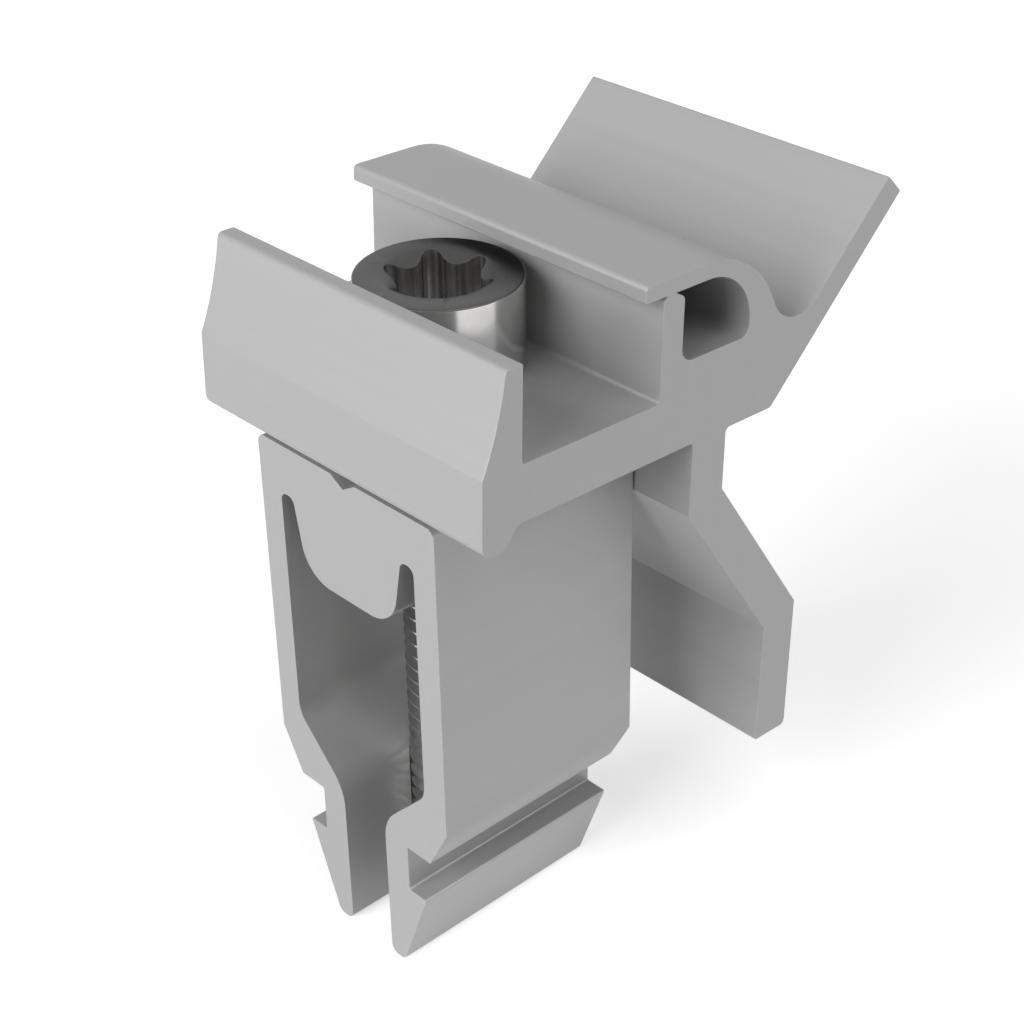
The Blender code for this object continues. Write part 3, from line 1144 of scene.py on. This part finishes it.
    def build(self) -> Object:
        """Builds the screw in one piece and lifts it to its seat.

        Returns:
            The closed solid.
        """
        screw = self.build_thread()
        screw.name = screw.data.name = "socket_screw"
        combine(screw, self.envelope(), "INTERSECT")
        combine(screw, self.build_head(), "UNION")
        combine(screw, self.build_socket(), "DIFFERENCE")
        drill(screw, self.countersink(), self.sides)
        settle(screw, lift=self.seat)
        smooth(screw)
        return screw

    def dress(self, piece: Object, effects: Effects) -> None:
        """Gives the screw its finish and lets it ride on the screw's body.

        Args:
            piece: The finished screw.
            effects: The shared effects.
        """
        finish = ColdFormedSteel("cold_formed_steel", self.seat, self.countersink_radius)
        hand_over(piece, finish.build(effects), "screw", "clamp_screw")


def polar(distance: float, angle: float) -> Vector:
    """Gives a section point by its distance and angle."""
    return Vector((math.cos(angle), math.sin(angle))) * distance


def turned_by(point: Vector, angle: float) -> Vector:
    """Gives a section point turned about the section's origin, positive from across to up."""
    cosine, sine = math.cos(angle), math.sin(angle)
    return Vector((point.x * cosine - point.y * sine, point.x * sine + point.y * cosine))


@dataclass
class ClampCap:
    """The cap: an extrusion along Y, drawn level about the screw's axis at its channel floor."""

    length: float = 32.5 * MM
    tilt: float = math.radians(2)
    plate: float = 4.65 * MM
    channel_half: float = 6.9 * MM
    channel_radius: float = 0.35 * MM
    jaw_height: float = 7.8 * MM
    jaw_top_width: float = 1.6 * MM
    jaw_base_width: float = 3.75 * MM
    jaw_hollow_radius: float = 28.0 * MM
    jaw_hollow_steps: int = 16
    jaw_edge_radius: float = 0.5 * MM
    fine_radius: float = 0.15 * MM
    lip_depth: float = 1.75 * MM
    lip_width: float = 2.2 * MM
    lip_angle: float = math.radians(56)
    lip_outer_radius: float = 1.1 * MM
    lip_inner_radius: float = 1.5 * MM
    lip_root_radius: float = 0.5 * MM
    wall: float = 2.2 * MM
    arm_level: float = 8.5 * MM
    arm_thickness: float = 1.35 * MM
    arm_overhang: float = 1.9 * MM
    arm_edge_radius: float = 0.4 * MM
    notch_inset: float = 0.35 * MM
    neck_width: float = 0.85 * MM
    neck_drop: float = 0.55 * MM
    wall_edge_radius: float = 0.3 * MM
    hollow_floor: float = 2.55 * MM
    hollow_width: float = 7.35 * MM
    hollow_crown_radius: float = 4.8 * MM
    hollow_wall_radius: float = 1.2 * MM
    hollow_end_radius: float = 0.9 * MM
    hollow_edge_radius: float = 0.5 * MM
    crown_width: float = 9.46 * MM
    crown_radius: float = 8.6 * MM
    crown_angle: float = math.radians(62)
    valley_radius: float = 3.05 * MM
    wing_angle: float = math.radians(45.5)
    wing_length: float = 20.0 * MM
    wing_thickness: float = 2.3 * MM
    heel_width: float = 5.1 * MM
    heel_radius: float = 0.5 * MM
    leg_thickness: float = 3.7 * MM
    leg_inner: float = 10.844 * MM
    leg_straight: float = 6.45 * MM
    leg_offset: float = 10.2 * MM
    leg_angle: float = math.radians(35)
    leg_depth: float = 32.47 * MM
    leg_root_radius: float = 0.4 * MM
    leg_foot_radius: float = 0.5 * MM
    hole_radius: float = 4.5 * MM
    hole_chamfer: float = 0.2 * MM
    end_edge: float = 0.05 * MM

    def jaw(self) -> list[Corner]:
        """Gives the corners over the jaw and down to the lip under the plate.

        Returns:
            The corners in order.
        """
        face, level = self.channel_half + self.jaw_base_width, self.plate + self.lip_depth
        inner = face - self.lip_width
        edge = self.channel_half + self.jaw_top_width
        top = Corner(-edge, self.jaw_height, self.jaw_edge_radius)
        crest = Corner(-face, 0.0, self.jaw_edge_radius)
        run = self.lip_depth / math.tan(self.lip_angle)
        return [
            Corner(-self.channel_half, 0.0, self.channel_radius),
            Corner(-self.channel_half, self.jaw_height, self.fine_radius),
            top,
            *self.hollow_face(top, crest),
            crest,
            Corner(-face, -level, self.lip_outer_radius),
            Corner(-inner, -level, self.lip_inner_radius),
            Corner(-inner + run, -self.plate, self.lip_root_radius),
        ]

    def hollow_face(self, top: Corner, crest: Corner) -> list[Corner]:
        """Gives corners along the jaw's concave face.

        Args:
            top: The corner at the jaw's top.
            crest: The corner at its crest.

        Returns:
            The corners between the two.
        """
        chord = crest.point - top.point
        half = math.asin(chord.length / 2 / self.jaw_hollow_radius)
        along = chord.normalized()
        left = Vector((-along.y, along.x))
        middle = (top.point + crest.point) / 2
        centre = middle - left * self.jaw_hollow_radius * math.cos(half)
        corners = []
        for step in range(1, self.jaw_hollow_steps):
            angle = half * (2 * step / self.jaw_hollow_steps - 1)
            spoke = left * math.cos(angle) + along * math.sin(angle)
            point = centre + spoke * self.jaw_hollow_radius
            corners.append(Corner(point.x, point.y))
        return corners

    def leg(self) -> list[Corner]:
        """Gives the corners down the leg's inner side and up its outer side.

        Returns:
            The corners in order.
        """
        crease = -self.plate - self.leg_straight
        outer = self.leg_inner + self.leg_thickness
        fall = self.leg_offset / math.tan(self.leg_angle)
        mitre = self.leg_thickness * math.tan(self.leg_angle / 2)
        bottom = -self.plate - self.leg_depth
        return [
            Corner(self.leg_inner, -self.plate, self.leg_root_radius),
            Corner(self.leg_inner, crease),
            Corner(self.leg_inner + self.leg_offset, crease - fall),
            Corner(self.leg_inner + self.leg_offset, bottom, self.fine_radius),
            Corner(outer + self.leg_offset, bottom, self.leg_foot_radius),
            Corner(outer + self.leg_offset, crease - fall + mitre),
            Corner(outer, crease + mitre),
            Corner(outer, -self.plate, self.leg_root_radius),
        ]

    def wing(self) -> list[Corner]:
        """Gives the corners of the heel, the wing, the valley and the crown.

        Returns:
            The corners in order.
        """
        heel = Vector((self.leg_inner + self.leg_thickness + self.heel_width, -self.plate))
        way = polar(1.0, self.wing_angle)
        inward = Vector((-way.y, way.x))
        tip = heel + way * self.wing_length
        upper = tip + inward * self.wing_thickness
        crown = Vector((self.channel_half + self.crown_width, self.arm_level + self.arm_thickness))
        fall = polar(1.0, -self.crown_angle)
        valley = crown + fall * (upper - crown).cross(way) / fall.cross(way)
        return [
            Corner(heel.x, heel.y, self.heel_radius),
            Corner(tip.x, tip.y, self.fine_radius),
            Corner(upper.x, upper.y, self.fine_radius),
            Corner(valley.x, valley.y, self.valley_radius),
            Corner(crown.x, crown.y, self.crown_radius),
        ]

    def arm(self) -> list[Corner]:
        """Gives the corners of the arm's free end and of the notch under it.

        Returns:
            The corners in order.
        """
        end, top = self.channel_half - self.arm_overhang, self.arm_level + self.arm_thickness
        return [
            Corner(end, top, self.arm_edge_radius),
            Corner(end, self.arm_level, self.fine_radius),
            Corner(self.channel_half + self.notch_inset, self.arm_level),
            Corner(self.channel_half, self.arm_level - self.notch_inset, self.wall_edge_radius),
            Corner(self.channel_half, 0.0, self.channel_radius),
        ]

    def hollow(self) -> list[Corner]:
        """Gives the corners of the closed chamber behind the rear wall.

        Returns:
            The corners in order.
        """
        left = self.channel_half + self.wall
        right = left + self.hollow_width
        point = self.channel_half + self.notch_inset + self.neck_width
        return [
            Corner(point, self.arm_level),
            Corner(left, self.arm_level - self.neck_drop, self.hollow_edge_radius),
            Corner(left, self.hollow_floor, self.hollow_wall_radius),
            Corner(right, self.hollow_floor, self.hollow_end_radius),
            Corner(right, self.arm_level, self.hollow_crown_radius),
        ]

    def hole(self) -> list[Corner]:
        """Gives the profile of the screw's hole, with both of its rims broken.

        Returns:
            The corners in order.
        """
        radius, flare = self.hole_radius, self.hole_radius + self.hole_chamfer
        return [
            Corner(0.0, OVERRUN),
            Corner(flare + OVERRUN, OVERRUN),
            Corner(flare, 0.0),
            Corner(radius, -self.hole_chamfer),
            Corner(radius, self.hole_chamfer - self.plate),
            Corner(flare, -self.plate),
            Corner(flare + OVERRUN, -self.plate - OVERRUN),
            Corner(0.0, -self.plate - OVERRUN),
        ]

    def build(self) -> Object:
        """Builds the cap, rocks it back by its tilt and lifts it to the height of its node.

        Returns:
            The closed solid.
        """
        corners = [*self.jaw(), *self.leg(), *self.wing(), *self.arm()]
        cap = push_out("cap_extrusion", Plane.ALONG_Y, corners, self.length)
        hollow = push_out("hollow", Plane.ALONG_Y, self.hollow(), self.length + OVERRUN)
        combine(cap, hollow, "DIFFERENCE")
        break_end_edges(cap, Plane.ALONG_Y, self.length / 2, self.end_edge)
        drill(cap, self.hole(), HOLE_SIDES)
        settle(cap, turn=self.tilt)
        top = max(vertex.co.z for vertex in cap.data.vertices)
        settle(cap, lift=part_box("clamp_cap")[1].z - top)
        smooth(cap)
        return cap

    def dress(self, piece: Object, effects: Effects) -> None:
        """Gives the cap its finish and lets it ride on the cap's body.

        Args:
            piece: The finished cap.
            effects: The shared effects.
        """
        finish = ExtrudedAluminium("cap_extruded_aluminium", Plane.ALONG_Y)
        hand_over(piece, finish.build(effects), "cap", "clamp_cap")


@dataclass(frozen=True)
class SoftBox:
    """A square lamp that faces the clamp."""

    name: str
    place: tuple[float, float, float]
    size: float
    power: float

    def hang(self, target: Vector) -> None:
        """Hangs the lamp so that it faces a point.

        Args:
            target: The point.
        """
        data = bpy.data.lights.new(self.name, "AREA")
        data.shape = "SQUARE"
        data.size = self.size
        data.energy = self.power
        lamp = bpy.data.objects.new(self.name, data)
        bpy.context.scene.collection.objects.link(lamp)
        lamp.location = self.place
        lamp.rotation_euler = (target - Vector(self.place)).to_track_quat("-Z", "Y").to_euler()


@dataclass
class Studio:
    """The pale floor, the even surroundings, the lamps and the camera."""

    floor_gap: float = 0.0002
    floor_size: float = 6.0
    floor_tone: Colour = (0.82, 0.82, 0.82)
    floor_glow: float = 0.56
    glow_start: float = 0.15
    glow_end: float = 0.6
    surroundings: float = 0.02
    camera_place: tuple[float, float, float] = (-0.093678, -0.110146, 0.112725)
    camera_right: tuple[float, float, float] = (0.73099869, -0.68214416, -0.01789576)
    camera_up: tuple[float, float, float] = (0.36536191, 0.36910984, 0.85455755)
    lens: float = 74.91
    sensor: float = 36.0
    nearest: float = 10 * MM
    lamps: tuple[SoftBox, ...] = (
        SoftBox("lamp_left", (-0.89, 0.0, 0.47), 0.75, 10.6),
        SoftBox("lamp_near", (0.01, -0.98, 0.22), 0.70, 0.7),
        SoftBox("lamp_above", (0.01, -0.50, 0.88), 0.70, 2.9),
        SoftBox("lamp_right", (0.67, -0.66, 0.36), 0.70, 1.8),
    )

    @staticmethod
    def seen_rays(nodes: Nodes) -> NodeSocket:
        """Tells the rays that show the surroundings from those that only light.

        Args:
            nodes: The nodes that the Light Path node is added to.

        Returns:
            1 for rays from the camera, from gloss or through glass, and 0 for the rest.
        """
        path = nodes.add("ShaderNodeLightPath")
        seen = nodes.math("MAXIMUM", path.outputs["Is Camera Ray"], path.outputs["Is Glossy Ray"])
        return nodes.math("MAXIMUM", seen, path.outputs["Is Transmission Ray"])

    def build_surroundings(self) -> None:
        """Makes the surroundings white where they are seen and nearly dark where they light."""
        world = bpy.data.worlds.new("surroundings")
        bpy.context.scene.world = world
        world.use_nodes = True
        nodes = Nodes(world.node_tree)
        background = world.node_tree.nodes["Background"]
        background.inputs["Color"].default_value = WHITE
        strength = nodes.spread(self.seen_rays(nodes), self.surroundings, 1.0)
        nodes.feed(background.inputs["Strength"], strength)

    def build_floor(self) -> None:
        """Lays the pale floor just under the barbs. It is plain white away from the clamp."""
        deselect_all()
        bpy.ops.mesh.primitive_plane_add(size=self.floor_size)
        floor = bpy.context.active_object
        floor.name = "floor"
        settle(floor, lift=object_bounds()[0][2] - self.floor_gap)
        material, nodes, shader = principled("pale_floor")
        shader.inputs["Base Color"].default_value = (*self.floor_tone, 1.0)
        shader.inputs["Roughness"].default_value = 1.0
        shader.inputs["Specular IOR Level"].default_value = 0.0
        shader.inputs["Emission Color"].default_value = WHITE
        away = nodes.measure("LENGTH", nodes.add("ShaderNodeTexCoord").outputs["Object"])
        glow = nodes.spread(away, self.floor_glow, 1.0, self.glow_start, self.glow_end)
        seen = nodes.math("MULTIPLY", self.seen_rays(nodes), glow)
        nodes.feed(shader.inputs["Emission Strength"], seen)
        floor.data.materials.append(material)
        floor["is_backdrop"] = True

    def build_camera(self) -> None:
        """Sets the camera at the photograph's angle."""
        data = bpy.data.cameras.new("camera")
        data.lens = self.lens
        data.sensor_width = self.sensor
        data.clip_start = self.nearest
        camera = bpy.data.objects.new("camera", data)
        bpy.context.scene.collection.objects.link(camera)
        right, up = Vector(self.camera_right), Vector(self.camera_up)
        columns = (right, up, right.cross(up), self.camera_place)
        for column, axis in enumerate(columns):
            for row in range(3):
                camera.matrix_world[row][column] = axis[row]
        bpy.context.scene.camera = camera

    def build(self) -> None:
        """Builds the whole studio."""
        self.build_surroundings()
        self.build_floor()
        low, high = (Vector(corner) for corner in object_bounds())
        for lamp in self.lamps:
            lamp.hang((low + high) / 2)
        self.build_camera()
        bpy.context.scene.view_settings.view_transform = "Standard"
        log.info("studio: %d lamps, a floor and a camera", len(self.lamps))


def main() -> None:
    """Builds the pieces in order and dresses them."""
    logging.basicConfig(level=logging.INFO, format="%(name)s: %(message)s")
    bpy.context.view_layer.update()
    Studio().build()
    effects = Effects()
    for part in (RailFoot(), ClampCap(), ClampScrew()):
        part.dress(part.build(), effects)
    deselect_all()


if __name__ == "__main__":
    main()
